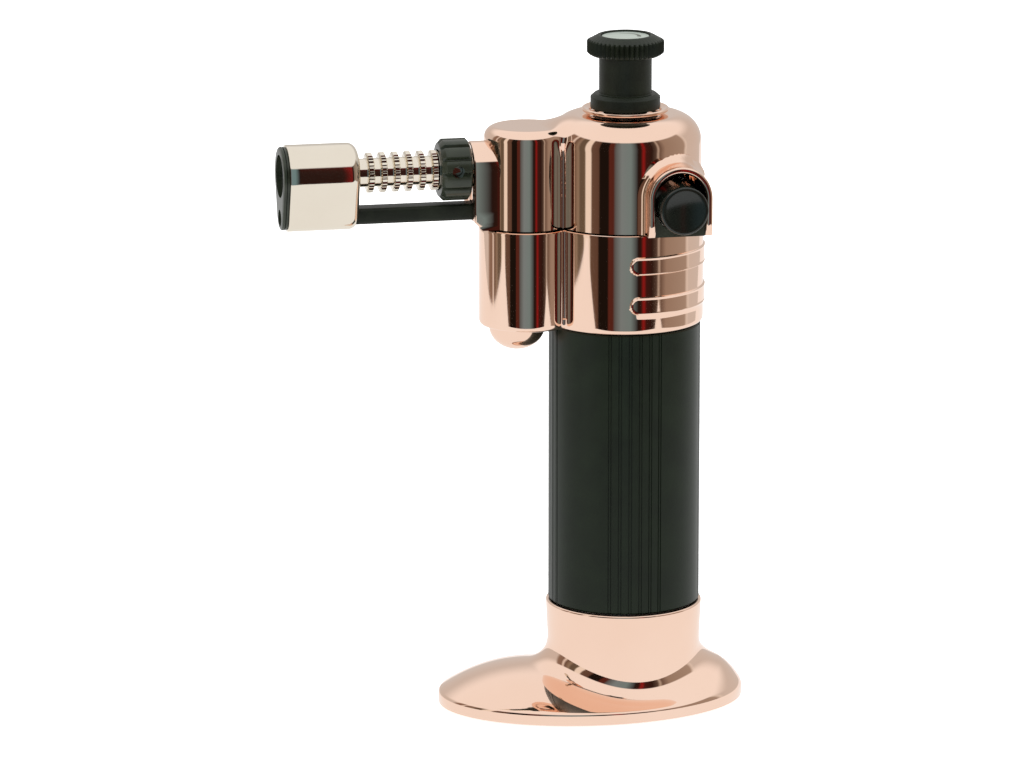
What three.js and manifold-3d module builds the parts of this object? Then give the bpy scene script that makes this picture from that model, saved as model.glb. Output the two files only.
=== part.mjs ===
// Refillable butane torch on a removable oval foot, as used at a jeweller's bench.
// Millimetres, +Z up. The origin is on the tank's axis, on the plane that the foot rests on.
// The burner points along -X, the ignition button faces -Y, and the gas knob is on top.
import * as THREE from 'three';
import { mergeVertices } from 'three/addons/utils/BufferGeometryUtils.js';
import Module from 'manifold-3d';

const wasm = await Module();
wasm.setup();

// ---- driving dimensions --------------------------------------------------------------------

const GAP = 0.3;                 // clearance between pieces that touch or slide
const BIG = 80;                  // reach of cutting tools, larger than any piece

// foot: an oval brim, offset towards the burner, round a cylindrical socket
const FOOT_CENTRE_X = -7.85;
const FOOT_HALF_LENGTH = 35.75;
const FOOT_HALF_WIDTH = 25.1;
const FOOT_RIM = 2.7;            // height of the brim's upright edge
const FOOT_RISE = 6.9;           // how far the brim's crown climbs from its edge to the socket
const FOOT_FILLET = 4.9;         // radius of the sweep from the crown into the socket wall
const FOOT_FLARE = FOOT_RIM + FOOT_RISE + FOOT_FILLET;
const FOOT_SIDE_SHARE = 0.11;    // share of that climb left where the brim is narrowest
const FOOT_TOP = 23.9;
const SOCKET_R = 17.7;           // outside of the socket wall
const SOCKET_LIP_R = 18.1;
const SOCKET_BORE_R = 16.5;
const SOCKET_FLOOR = 8;
const PAD_INSET = 2.6;
const PAD_THICK = 1.3;

// fuel tank: a tube closed by a plug at each end
const TANK_R = 17.5;
const TANK_BORE_R = 16;
const TANK_BOTTOM = FOOT_TOP + GAP;
const TANK_TOP = 89.9;
const PLUG_R = TANK_BORE_R - GAP;

// two-lobed housing: a lower collar and a top cover, split at one level
const COLLAR_BOTTOM = TANK_TOP + GAP;
const SPLIT_Z = 113.4;
const LOBE_SPACING = 23.1;       // from the tank's axis to the front lobe's axis
const COLLAR_R = 18.1;
const COLLAR_FRONT_R = 10.9;
const COVER_R = 17.5;
const COVER_FRONT_R = 9.75;
const COVER_TOP = 138.4;
const COVER_FRONT_TOP = 136.4;
const COVER_ROUND = 6.2;         // radius of the cover's top edge
const COVER_FRONT_ROUND = 3.2;
const WALL = 1.6;
const GRIP_PAD_HEIGHT = 4.25;
const GRIP_PAD_Z = [97, 106.25]; // mid heights of the two raised grip pads
const GRIP_PAD_START_X = -2.75;
const GRIP_PAD_PROUD = 0.4;
const DOME_X = -25.3;
const DOME_R = 6.5;
const DOME_DROP = 5.6;

// burner: distances run forward from the tank's axis, along -X
const BURNER_Z = 126.9;
const BOSS_R = 6.3;
const BOSS_FRONT = 36.4;
const AIR_RING_BACK = BOSS_FRONT + GAP;
const AIR_RING_FRONT = 43.7;
const AIR_RING_R = 7.1;
const AIR_RING_RIBS = 12;
const AIR_HOLE_R = 1.4;
const TUBE_R = 3.3;
const KNURL_R = 4.6;
const KNURL_COUNT = 6;
const KNURL_WIDTH = 1.5;
const KNURL_PITCH = 2.96;
const BARREL_BACK = 62.5;
const BARREL_FRONT = 78.9;
const MUZZLE_FRONT = 80.3;
const BARREL_TOP_R = 7.1;
const BARREL_LOW_R = 4.6;
const BARREL_LOW_DROP = 8.3;     // from the burner's axis down to the barrel's lower centre
const BARREL_WALL = 1;
const ELECTRODE_Z = 117.2;
const SLEEVE_HALF_WIDTH = 2.7;
const SLEEVE_HALF_HEIGHT = 1.85;
const SLEEVE_ROUND = 0.8;

// gas knob on top of the cover
const KNOB_HOLE_R = 5;
const BEZEL_R = 10;
const BEZEL_HEIGHT = 1.5;
const KNOB_BOTTOM = 139.7;
const KNOB_COLLAR_R = 8;
const KNOB_COLLAR_TOP = 143.1;
const KNOB_STEM_R = 6.05;
const CAP_BOTTOM = 151.9;
const CAP_SHOULDER = 154.8;
const CAP_TOP = 156.6;
const CAP_R = 8.85;
const CAP_LIP_R = 6.4;
const CAP_TEETH = 45;
const SPINDLE_R = 2.5;

// ignition button in its arch on the side of the cover
const BUTTON_X = 8.05;
const BUTTON_Z = 120.4;
const BUTTON_R = 5.5;
const BUTTON_FACE_Y = -26.6;
const BUTTON_BACK_Y = -14;
const ARCH_Z = 122.3;
const ARCH_R = 7.4;
const ARCH_OPENING_R = 5.85;
const ARCH_FRONT_Y = -22.6;

// ---- materials -----------------------------------------------------------------------------

function finish(color, roughness, metalness) {
  return new THREE.MeshStandardMaterial({ color, roughness, metalness });
}

const ROSE_GOLD = finish(0xe8b9a0, 0.08, 1);
const NICKEL = finish(0xd9d0c0, 0.12, 1);
const ANODISED = finish(0x20251f, 0.42, 0.3);
const BLACK_PLASTIC = finish(0x252822, 0.5, 0);
const GLOSS_PLASTIC = finish(0x1c201c, 0.25, 0);
const WHITE_PLASTIC = finish(0xe6e2d8, 0.5, 0);
const LABEL_METAL = finish(0xc3ccc3, 0.35, 0.6);
const BRASS = finish(0xc2a14e, 0.3, 1);
const STEEL = finish(0xb9bcc0, 0.3, 1);
const ALUMINIUM = finish(0xb4b7ba, 0.4, 1);
const RUBBER = finish(0x191919, 0.9, 0);
const CERAMIC = finish(0xe4ded2, 0.8, 0);

// ---- shape helpers -------------------------------------------------------------------------

const torch = new THREE.Group();

function addPiece(name, geometry, material) {
  const mesh = new THREE.Mesh(geometry, material);
  mesh.name = name;
  torch.add(mesh);
}

function toSolid(geometry) {
  const bare = geometry.clone();
  bare.deleteAttribute('normal');
  bare.deleteAttribute('uv');
  const merged = mergeVertices(bare, 1e-4);
  return new wasm.Manifold(new wasm.Mesh({
    numProp: 3,
    vertProperties: new Float32Array(merged.attributes.position.array),
    triVerts: new Uint32Array(merged.index.array),
  }));
}

function toGeometry(solid) {
  const mesh = solid.getMesh();
  const geometry = new THREE.BufferGeometry();
  geometry.setAttribute('position', new THREE.BufferAttribute(new Float32Array(mesh.vertProperties), 3));
  geometry.setIndex(new THREE.BufferAttribute(new Uint32Array(mesh.triVerts), 1));
  return geometry;
}

// Joins the first list of geometries and cuts the second list away from them.
function carve(keep, cut = []) {
  let solid = toSolid(keep[0]);
  for (const geometry of keep.slice(1)) solid = solid.add(toSolid(geometry));
  for (const geometry of cut) solid = solid.subtract(toSolid(geometry));
  return toGeometry(solid);
}

function overlap(a, b) {
  return toGeometry(toSolid(a).intersect(toSolid(b)));
}

// A solid of revolution about Z. The outline is [radius, height] pairs, counter-clockwise.
function turned(outline, segments = 36) {
  const points = outline.map(([r, z]) => new THREE.Vector2(r, z));
  return new THREE.LatheGeometry(points, segments).rotateX(Math.PI / 2);
}

function rod(radius, low, high, segments = 36) {
  return turned([[0, low], [radius, low], [radius, high], [0, high]], segments);
}

function ring(inner, outer, low, high, segments = 36) {
  return turned([[inner, low], [outer, low], [outer, high], [inner, high], [inner, low]], segments);
}

// A rod whose top edge is rounded with the given radius.
function roundedRod(radius, low, high, round, segments = 48, steps = 4) {
  const outline = [[0, low], [radius, low]];
  for (let i = 0; i <= steps; i++) {
    const turn = (i / steps) * Math.PI / 2;
    outline.push([radius - round + round * Math.cos(turn), high - round + round * Math.sin(turn)]);
  }
  outline.push([0, high]);
  return turned(outline, segments);
}

// Moves a solid that stands on +Z so that its heights become forward distances on the burner's axis.
function forward(geometry, z = BURNER_Z) {
  return geometry.rotateY(-Math.PI / 2).translate(0, 0, z);
}

// Moves a solid that stands on +Z so that its heights become distances along +Y.
function sideways(geometry, x, z) {
  return geometry.rotateX(-Math.PI / 2).translate(x, 0, z);
}

function block(lowX, highX, lowY, highY, lowZ, highZ) {
  const geometry = new THREE.BoxGeometry(highX - lowX, highY - lowY, highZ - lowZ);
  return geometry.translate((lowX + highX) / 2, (lowY + highY) / 2, (lowZ + highZ) / 2);
}

// An outline in the XZ plane pushed from frontY back to backY.
function pushedBack(shape, frontY, backY, curveSegments = 16) {
  const geometry = new THREE.ExtrudeGeometry(shape, {
    depth: backY - frontY, bevelEnabled: false, curveSegments,
  });
  return geometry.rotateX(Math.PI / 2).translate(0, backY, 0);
}

// An outline in the YZ plane pushed forward along -X between two forward distances.
function pushedForward(shape, back, front, curveSegments = 12) {
  const geometry = new THREE.ExtrudeGeometry(shape, {
    depth: front - back, bevelEnabled: false, curveSegments,
  });
  const toFront = new THREE.Matrix4().makeBasis(
    new THREE.Vector3(0, -1, 0), new THREE.Vector3(0, 0, 1), new THREE.Vector3(-1, 0, 0));
  return geometry.applyMatrix4(toFront).translate(-back, 0, 0);
}

// An upright slab with a half-round top, such as the burner's boss and the button's arch.
function archShape(centreX, centreZ, radius, bottomZ) {
  const shape = new THREE.Shape();
  shape.moveTo(centreX - radius, bottomZ);
  shape.lineTo(centreX + radius, bottomZ);
  shape.lineTo(centreX + radius, centreZ);
  shape.absarc(centreX, centreZ, radius, 0, Math.PI, false);
  shape.closePath();
  return shape;
}

// The barrel's section: a large circle above a small one, joined by straight sides.
function pearShape(inset) {
  const upper = BARREL_TOP_R - inset;
  const lower = BARREL_LOW_R - inset;
  const lean = Math.asin((upper - lower) / BARREL_LOW_DROP);
  const shape = new THREE.Shape();
  shape.absarc(0, BURNER_Z, upper, -lean, Math.PI + lean, false);
  shape.absarc(0, BURNER_Z - BARREL_LOW_DROP, lower, Math.PI + lean, 2 * Math.PI - lean, false);
  shape.closePath();
  return shape;
}

// The electrode sleeve's section: a flat bar with rounded corners, drawn larger by the margin.
function barShape(margin) {
  const y = SLEEVE_HALF_WIDTH + margin;
  const z = SLEEVE_HALF_HEIGHT + margin;
  const round = SLEEVE_ROUND + margin;
  const shape = new THREE.Shape();
  shape.absarc(y - round, ELECTRODE_Z + z - round, round, 0, Math.PI / 2, false);
  shape.absarc(round - y, ELECTRODE_Z + z - round, round, Math.PI / 2, Math.PI, false);
  shape.absarc(round - y, ELECTRODE_Z - z + round, round, Math.PI, 3 * Math.PI / 2, false);
  shape.absarc(y - round, ELECTRODE_Z - z + round, round, 3 * Math.PI / 2, 2 * Math.PI, false);
  shape.closePath();
  return shape;
}

// A round wheel with half-sine ribs on its edge.
function ribbedShape(radius, depth, count, stepsPerRib) {
  const shape = new THREE.Shape();
  const steps = count * stepsPerRib;
  for (let i = 0; i < steps; i++) {
    const turn = (i / steps) * 2 * Math.PI;
    const r = radius - depth * (0.5 - 0.5 * Math.cos(turn * count));
    if (i === 0) shape.moveTo(r, 0);
    else shape.lineTo(r * Math.cos(turn), r * Math.sin(turn));
  }
  shape.closePath();
  return shape;
}

// A round wire or tube along a smooth path.
function alongPath(points, radius, steps, bore = 0) {
  const section = new THREE.Shape().absarc(0, 0, radius, 0, 2 * Math.PI, false);
  if (bore > 0) section.holes.push(new THREE.Path().absarc(0, 0, bore, 0, 2 * Math.PI, true));
  const extrudePath = new THREE.CatmullRomCurve3(points.map((p) => new THREE.Vector3(...p)));
  return new THREE.ExtrudeGeometry(section, { steps, curveSegments: 4, extrudePath });
}

function helixPoints(radius, low, high, turns) {
  const points = [];
  const steps = turns * 10;
  for (let i = 0; i <= steps; i++) {
    const turn = (i / steps) * turns * 2 * Math.PI;
    points.push([radius * Math.cos(turn), radius * Math.sin(turn), low + (high - low) * (i / steps)]);
  }
  return points;
}

function oRing(centreR, z, thickness) {
  return new THREE.TorusGeometry(centreR, thickness / 2, 6, 30).translate(0, 0, z);
}

// ---- foot ----------------------------------------------------------------------------------

// Distance from the tank's axis to the brim's oval edge, in the given direction.
function brimReach(turn) {
  const c = Math.cos(turn);
  const s = Math.sin(turn);
  const a = (c / FOOT_HALF_LENGTH) ** 2 + (s / FOOT_HALF_WIDTH) ** 2;
  const b = -2 * FOOT_CENTRE_X * c / FOOT_HALF_LENGTH ** 2;
  const d = (FOOT_CENTRE_X / FOOT_HALF_LENGTH) ** 2 - 1;
  return (-b + Math.sqrt(b * b - 4 * a * d)) / (2 * a);
}

// Height of the brim's top: a crown that falls to the edge and is highest along the oval's length,
// and a fillet against the socket wall.
function brimHeight(turn, spread, fromWall) {
  const share = FOOT_SIDE_SHARE + (1 - FOOT_SIDE_SHARE) * Math.cos(turn) ** 2;
  const crown = FOOT_RISE * share * (1 - spread ** 2.5);
  const left = Math.max(FOOT_FILLET - fromWall, 0);
  return FOOT_RIM + crown + FOOT_FILLET - Math.sqrt(FOOT_FILLET ** 2 - left ** 2);
}

function makeFootBody() {
  const nominal = 2 * SOCKET_R;
  const outline = [[0, GAP], [nominal, GAP], [nominal, FOOT_RIM]];
  const steps = 9;
  for (let i = 1; i < steps; i++) outline.push([SOCKET_R * (1 + (1 - i / steps) ** 1.4), FOOT_RIM]);
  outline.push([SOCKET_R, FOOT_FLARE], [SOCKET_LIP_R, FOOT_TOP - 1], [SOCKET_LIP_R, FOOT_TOP], [0, FOOT_TOP]);
  const geometry = turned(outline, 56);
  const position = geometry.attributes.position;
  for (let i = 0; i < position.count; i++) {
    const r = Math.hypot(position.getX(i), position.getY(i));
    const wallFoot = Math.abs(position.getZ(i) - FOOT_FLARE) < 0.01;
    if (r <= SOCKET_LIP_R + 0.01 && !wallFoot) continue;
    const turn = Math.atan2(position.getY(i), position.getX(i));
    const spread = Math.max((r - SOCKET_R) / (nominal - SOCKET_R), 0);
    const reach = SOCKET_R + spread * (brimReach(turn) - SOCKET_R);
    position.setXY(i, reach * Math.cos(turn), reach * Math.sin(turn));
    if (position.getZ(i) > GAP + 0.01) position.setZ(i, brimHeight(turn, spread, reach - SOCKET_R));
  }
  return geometry;
}

function padShape(inset) {
  return new THREE.Shape().absellipse(
    FOOT_CENTRE_X, 0, FOOT_HALF_LENGTH - inset, FOOT_HALF_WIDTH - inset, 0, 2 * Math.PI, false, 0);
}

function padSlab(inset, low, high) {
  return new THREE.ExtrudeGeometry(padShape(inset), { depth: high - low, bevelEnabled: false, curveSegments: 24 })
    .translate(0, 0, low);
}

addPiece('foot', carve(
  [makeFootBody()],
  [rod(SOCKET_BORE_R, SOCKET_FLOOR, BIG, 48), padSlab(PAD_INSET - GAP, -1, PAD_THICK + GAP)],
), ROSE_GOLD);
addPiece('foot_pad', padSlab(PAD_INSET, 0, PAD_THICK), RUBBER);

// ---- fuel tank and filler valve --------------------------------------------------------------

const PLUG_FOOT = SOCKET_FLOOR + GAP;
const VALVE_R = 4;
const VALVE_BOTTOM = 12;
const VALVE_TOP = 28;
const STEM_R = 1.5;
const STEM_TIP = 9.8;
const STEM_FLANGE = 14.3;
const STEM_TOP = 19;
const SPRING_R = 2.2;
const SPRING_LOW = 16.1;
const SPRING_HIGH = 23.7;
const LOWER_SEAL_Z = 29;
const UPPER_SEAL_Z = 86;
const SEAL_THICK = 1.5;
const SEAL_R = PLUG_R - SEAL_THICK / 2 - 0.1;
const GROOVE_R = SEAL_R - SEAL_THICK / 2 - 0.2;

function sealGroove(z) {
  return ring(GROOVE_R, TANK_BORE_R, z - SEAL_THICK / 2 - 0.2, z + SEAL_THICK / 2 + 0.2);
}

addPiece('tank_tube', ring(TANK_BORE_R, TANK_R, TANK_BOTTOM, TANK_TOP, 56), ANODISED);

addPiece('tank_bottom_plug', carve(
  [rod(SOCKET_BORE_R - GAP, PLUG_FOOT, FOOT_TOP, 48), rod(PLUG_R, FOOT_TOP - 1, LOWER_SEAL_Z + 4)],
  [rod(VALVE_R + GAP, 0, BIG, 24), rod(8, 0, VALVE_BOTTOM, 32), sealGroove(LOWER_SEAL_Z)],
), ALUMINIUM);

addPiece('lower_tank_seal', oRing(SEAL_R, LOWER_SEAL_Z, SEAL_THICK), RUBBER);

addPiece('filler_valve_body', turned([
  [STEM_R + GAP, VALVE_BOTTOM], [VALVE_R, VALVE_BOTTOM], [VALVE_R, VALVE_TOP], [1.2, VALVE_TOP],
  [1.2, SPRING_HIGH + 0.6], [3.1, SPRING_HIGH + 0.6], [3.1, STEM_FLANGE - GAP],
  [STEM_R + GAP, STEM_FLANGE - GAP], [STEM_R + GAP, VALVE_BOTTOM],
], 24), BRASS);

addPiece('filler_valve_stem', turned([
  [0, STEM_TIP], [STEM_R, STEM_TIP], [STEM_R, STEM_FLANGE], [2.8, STEM_FLANGE],
  [2.8, STEM_FLANGE + 1.2], [1.2, STEM_FLANGE + 1.2], [1.2, STEM_TOP], [0, STEM_TOP],
], 24), BRASS);

addPiece('filler_spring', alongPath(helixPoints(SPRING_R, SPRING_LOW, SPRING_HIGH, 4), 0.25, 44), STEEL);

const TOP_PLUG_FLANGE_R = 16.5;
const BLOCK_R = 6;
const BLOCK_TOP = 112;

addPiece('tank_top_plug', carve(
  [rod(PLUG_R, UPPER_SEAL_Z - 5, COLLAR_BOTTOM + 1), rod(TOP_PLUG_FLANGE_R, COLLAR_BOTTOM, COLLAR_BOTTOM + 5)],
  [rod(BLOCK_R + GAP, 0, BIG * 2, 28), sealGroove(UPPER_SEAL_Z)],
), ALUMINIUM);

addPiece('upper_tank_seal', oRing(SEAL_R, UPPER_SEAL_Z, SEAL_THICK), RUBBER);

// ---- gas valve, regulator and gas line -----------------------------------------------------

const PICKUP_R = 1.6;
const INLET_BORE_R = 1.2;
const BLOCK_INLET = 84;
const SPINDLE_BOTTOM = 98;
const SPINDLE_BORE_R = SPINDLE_R + GAP;
const SPINDLE_TOP = 149.5;
const SPINDLE_SEAL_Z = 106;

addPiece('pickup_wick', rod(PICKUP_R, 38, BLOCK_INLET - GAP, 20), WHITE_PLASTIC);

addPiece('gas_valve_block', turned([
  [INLET_BORE_R, BLOCK_INLET], [3.2, BLOCK_INLET], [3.2, 88], [BLOCK_R, 88], [BLOCK_R, BLOCK_TOP],
  [SPINDLE_BORE_R, BLOCK_TOP], [SPINDLE_BORE_R, 96], [INLET_BORE_R, 94], [INLET_BORE_R, BLOCK_INLET],
], 28), BRASS);

addPiece('regulator_spindle', carve(
  [turned([
    [0, SPINDLE_BOTTOM - 2], [0.5, SPINDLE_BOTTOM - 2], [SPINDLE_R, SPINDLE_BOTTOM + 1],
    [SPINDLE_R, SPINDLE_SEAL_Z - 0.6], [SPINDLE_R - 0.8, SPINDLE_SEAL_Z - 0.6],
    [SPINDLE_R - 0.8, SPINDLE_SEAL_Z + 0.6], [SPINDLE_R, SPINDLE_SEAL_Z + 0.6],
    [SPINDLE_R, SPINDLE_TOP], [0, SPINDLE_TOP],
  ], 24)],
  [rod(1.5, SPINDLE_TOP - 7, BIG * 2, 20)],
), STEEL);

addPiece('spindle_seal', oRing(SPINDLE_R - 0.3, SPINDLE_SEAL_Z, 0.8), RUBBER);

const GAS_TUBE_START = BLOCK_R + GAP;
const JET_BACK = 30.3;
const JET_FRONT = 38;
addPiece('gas_tube', alongPath([
  [-GAS_TUBE_START, 0, 103], [-13, 0, 103], [-19.5, 0, 107], [-21.5, 0, 114],
  [-22.5, 0, 121.5], [-25.5, 0, 126], [-JET_BACK + GAP, 0, BURNER_Z],
], 1.6, 16, 0.8), BRASS);

addPiece('gas_jet', forward(turned([
  [0.5, JET_BACK], [2.8, JET_BACK], [2.8, JET_FRONT - 2], [1.4, JET_FRONT],
  [0.5, JET_FRONT], [0.5, JET_BACK],
], 24)), BRASS);

// ---- two-lobed housing ---------------------------------------------------------------------

function twoLobes(mainR, frontR, low, high) {
  return [rod(mainR, low, high, 60), rod(frontR, low, high, 44).translate(-LOBE_SPACING, 0, 0)];
}

function gripPad(z) {
  const end = GRIP_PAD_HEIGHT / 2;
  const shape = new THREE.Shape();
  shape.moveTo(BIG / 2, z + end);
  shape.lineTo(GRIP_PAD_START_X + end, z + end);
  shape.absarc(GRIP_PAD_START_X + end, z, end, Math.PI / 2, 3 * Math.PI / 2, false);
  shape.lineTo(BIG / 2, z - end);
  shape.closePath();
  const band = ring(COLLAR_R - 0.6, COLLAR_R + GRIP_PAD_PROUD, z - 5, z + 5, 60);
  return overlap(band, pushedBack(shape, -BIG / 2, BIG / 2, 6));
}

addPiece('lower_collar', carve(
  [...twoLobes(COLLAR_R, COLLAR_FRONT_R, COLLAR_BOTTOM, SPLIT_Z - GAP / 2), ...GRIP_PAD_Z.map(gripPad)],
  [
    rod(TOP_PLUG_FLANGE_R + GAP, 0, BIG * 2, 48),
    rod(COLLAR_FRONT_R - WALL, COLLAR_BOTTOM + WALL, BIG * 2, 36).translate(-LOBE_SPACING, 0, 0),
    rod(2.3, 0, BIG * 2, 20).translate(DOME_X, 0, 0),
  ],
), ROSE_GOLD);

function domeOutline() {
  const outline = [];
  const steps = 6;
  for (let i = 0; i <= steps; i++) {
    const turn = (i / steps - 1) * Math.PI / 2;
    outline.push([DOME_R * Math.cos(turn), COLLAR_BOTTOM - GAP + DOME_DROP * Math.sin(turn)]);
  }
  outline[0][0] = 0;
  const stud = 2;
  outline.push([stud, COLLAR_BOTTOM - GAP], [stud, COLLAR_BOTTOM + 4], [0, COLLAR_BOTTOM + 4]);
  return outline;
}

addPiece('front_dome', turned(domeOutline(), 32).translate(DOME_X, 0, 0), ROSE_GOLD);

// The cover's outer skin, or its hollow when it is drawn smaller by the wall.
function coverBody(inset, bottom) {
  return [
    roundedRod(COVER_R - inset, bottom, COVER_TOP - inset, COVER_ROUND - inset / 2),
    roundedRod(COVER_FRONT_R - inset, bottom, COVER_FRONT_TOP - inset, COVER_FRONT_ROUND - inset / 2, 36)
      .translate(-LOBE_SPACING, 0, 0),
  ];
}

const COVER_BOTTOM = SPLIT_Z + GAP / 2;
const BOSS_CHAMFER = 2;

// A tilted block that takes the lower front corner off the boss.
function bossChamfer() {
  return block(-BOSS_CHAMFER, BOSS_CHAMFER, -BIG / 2, BIG / 2, -BOSS_CHAMFER, BOSS_CHAMFER)
    .rotateY(Math.PI / 4)
    .translate(-BOSS_FRONT - 1.2, 0, COVER_BOTTOM - 0.8);
}

addPiece('top_cover', carve(
  [
    ...coverBody(0, COVER_BOTTOM),
    pushedForward(archShape(0, BURNER_Z, BOSS_R, COVER_BOTTOM), 20, BOSS_FRONT),
    pushedBack(archShape(BUTTON_X, ARCH_Z, ARCH_R, COVER_BOTTOM), ARCH_FRONT_Y, -8),
  ],
  [
    bossChamfer(),
    pushedBack(archShape(BUTTON_X, ARCH_Z, ARCH_OPENING_R, 0), -BIG, -17.6),
    sideways(rod(BUTTON_R + GAP, -BIG, 0, 32), BUTTON_X, BUTTON_Z),
    ...coverBody(WALL, 0),
    forward(rod(KNURL_R + 0.1, 20, BIG, 24)),
    pushedForward(barShape(GAP), 20, BIG, 4),
    rod(KNOB_HOLE_R, 0, BIG * 2, 28),
  ],
), ROSE_GOLD);

// ---- gas knob ------------------------------------------------------------------------------

addPiece('knob_bezel', turned([
  [BEZEL_R - 1.5, COVER_TOP + GAP], [BEZEL_R, COVER_TOP + GAP], [BEZEL_R, COVER_TOP + BEZEL_HEIGHT - 0.5],
  [BEZEL_R - 0.5, COVER_TOP + BEZEL_HEIGHT], [BEZEL_R - 1.1, COVER_TOP + BEZEL_HEIGHT],
  [BEZEL_R - 1.5, COVER_TOP + BEZEL_HEIGHT - 0.4], [BEZEL_R - 1.5, COVER_TOP + GAP],
], 40), ROSE_GOLD);

const SLEEVE_BORE_R = SPINDLE_R + 0.2;
addPiece('knob_sleeve', turned([
  [SLEEVE_BORE_R, KNOB_BOTTOM], [KNOB_COLLAR_R, KNOB_BOTTOM], [KNOB_COLLAR_R, KNOB_COLLAR_TOP - 0.9],
  [KNOB_COLLAR_R - 0.9, KNOB_COLLAR_TOP], [KNOB_STEM_R, KNOB_COLLAR_TOP], [KNOB_STEM_R, CAP_BOTTOM - GAP],
  [SLEEVE_BORE_R, CAP_BOTTOM - GAP], [SLEEVE_BORE_R, KNOB_BOTTOM],
], 40), BLACK_PLASTIC);

const LABEL_R = 5.45;
const LABEL_THICK = 0.6;
const LABEL_TOP = CAP_TOP - 0.35;
const SCREW_TOP = LABEL_TOP - LABEL_THICK - GAP;

addPiece('knob_cap', carve(
  [
    new THREE.ExtrudeGeometry(ribbedShape(CAP_R, 0.45, CAP_TEETH, 2), {
      depth: CAP_SHOULDER - CAP_BOTTOM, bevelEnabled: false,
    }).translate(0, 0, CAP_BOTTOM),
    turned([
      [0, CAP_SHOULDER - 0.5], [CAP_R - 0.45, CAP_SHOULDER - 0.5], [CAP_R - 0.45, CAP_SHOULDER],
      [CAP_LIP_R, CAP_TOP], [0, CAP_TOP],
    ], 40),
  ],
  [
    rod(LABEL_R + GAP, LABEL_TOP - LABEL_THICK - 0.1, BIG * 3, 32),
    rod(3, CAP_BOTTOM + 1, BIG * 3, 24),
    rod(1.6, 0, BIG * 3, 20),
  ],
), BLACK_PLASTIC);

addPiece('knob_screw', turned([
  [0, SPINDLE_TOP - 5], [1.2, SPINDLE_TOP - 5], [1.2, CAP_BOTTOM + 1 + GAP], [2.5, CAP_BOTTOM + 1 + GAP],
  [2.5, SCREW_TOP], [0, SCREW_TOP],
], 24), STEEL);

addPiece('knob_label', rod(LABEL_R, LABEL_TOP - LABEL_THICK, LABEL_TOP, 32), LABEL_METAL);

// ---- ignition button and piezo igniter -----------------------------------------------------

const DISH_DEPTH = 0.5;
addPiece('ignition_button', sideways(turned([
  [0, BUTTON_FACE_Y + DISH_DEPTH], [BUTTON_R - 1.6, BUTTON_FACE_Y + DISH_DEPTH * 0.6],
  [BUTTON_R - 0.5, BUTTON_FACE_Y], [BUTTON_R, BUTTON_FACE_Y + 0.5], [BUTTON_R, BUTTON_BACK_Y],
  [0, BUTTON_BACK_Y],
], 32), BUTTON_X, BUTTON_Z), GLOSS_PLASTIC);

const PLATE_FRONT_Y = -21.6;
const PLATE_BACK_Y = -17.9;
const PLATE_HALF = ARCH_OPENING_R - 0.15;
addPiece('button_plate', carve(
  [block(BUTTON_X - PLATE_HALF, BUTTON_X + PLATE_HALF, PLATE_FRONT_Y, PLATE_BACK_Y, COVER_BOTTOM, BUTTON_Z - 2)],
  [sideways(rod(BUTTON_R + GAP, -BIG, 0, 40), BUTTON_X, BUTTON_Z)],
), BLACK_PLASTIC);

const PIEZO_HALF_X = 3.5;
const PIEZO_HALF_Z = 4.5;
const PIEZO_FRONT = -9;
const PIEZO_BACK = 9.5;
const PLUNGER_HALF = 2.2;
const PLUNGER_REACH = -8;
const PIEZO_SOCKET = -3;

function piezoBlock(half, halfHeight, front, back) {
  return block(BUTTON_X - half, BUTTON_X + half, front, back, BUTTON_Z - halfHeight, BUTTON_Z + halfHeight);
}

addPiece('piezo_body', carve(
  [piezoBlock(PIEZO_HALF_X, PIEZO_HALF_Z, PIEZO_FRONT, PIEZO_BACK)],
  [piezoBlock(PLUNGER_HALF + GAP, PLUNGER_HALF + GAP, -BIG, PIEZO_SOCKET)],
), WHITE_PLASTIC);

addPiece('piezo_plunger',
  piezoBlock(PLUNGER_HALF, PLUNGER_HALF, BUTTON_BACK_Y + GAP, PLUNGER_REACH), BLACK_PLASTIC);

addPiece('ignition_lead', alongPath([
  [BUTTON_X, PIEZO_BACK + 2 * GAP, BUTTON_Z], [6, 12.7, 120.5], [-2, 11, 118.5], [-10, 4.5, 117.5],
  [-15.6, 1.8, ELECTRODE_Z], [-19, 3.3, ELECTRODE_Z], [-22.5, 4.2, ELECTRODE_Z],
  [-28, 2.4, ELECTRODE_Z], [-32.6, 0, ELECTRODE_Z],
], 0.8, 28), RUBBER);

// ---- burner --------------------------------------------------------------------------------

function knurlOutline() {
  const outline = [];
  for (let i = 0; i < KNURL_COUNT; i++) {
    const back = AIR_RING_FRONT + 0.45 + i * KNURL_PITCH;
    outline.push([TUBE_R, back], [KNURL_R, back + 0.15]);
    outline.push([KNURL_R, back + KNURL_WIDTH - 0.15], [TUBE_R, back + KNURL_WIDTH]);
  }
  return outline;
}

const BEARING_R = 4.4;
const NOSE = BARREL_BACK + 2.4;
const MIX_BORE_R = 2.3;
const JET_HOUSING_R = 3.1;

addPiece('burner_tube', carve(
  [forward(turned([
    [JET_HOUSING_R, JET_BACK], [BEARING_R, JET_BACK], [BEARING_R, AIR_RING_FRONT + GAP],
    ...knurlOutline(),
    [TUBE_R, NOSE], [MIX_BORE_R, NOSE], [MIX_BORE_R, JET_FRONT + 2], [JET_HOUSING_R, JET_FRONT + 1],
    [JET_HOUSING_R, JET_BACK],
  ], 20))],
  [sideways(rod(1.2, -BIG, BIG, 10), -(AIR_RING_BACK + AIR_RING_FRONT) / 2, BURNER_Z)],
), NICKEL);

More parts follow.
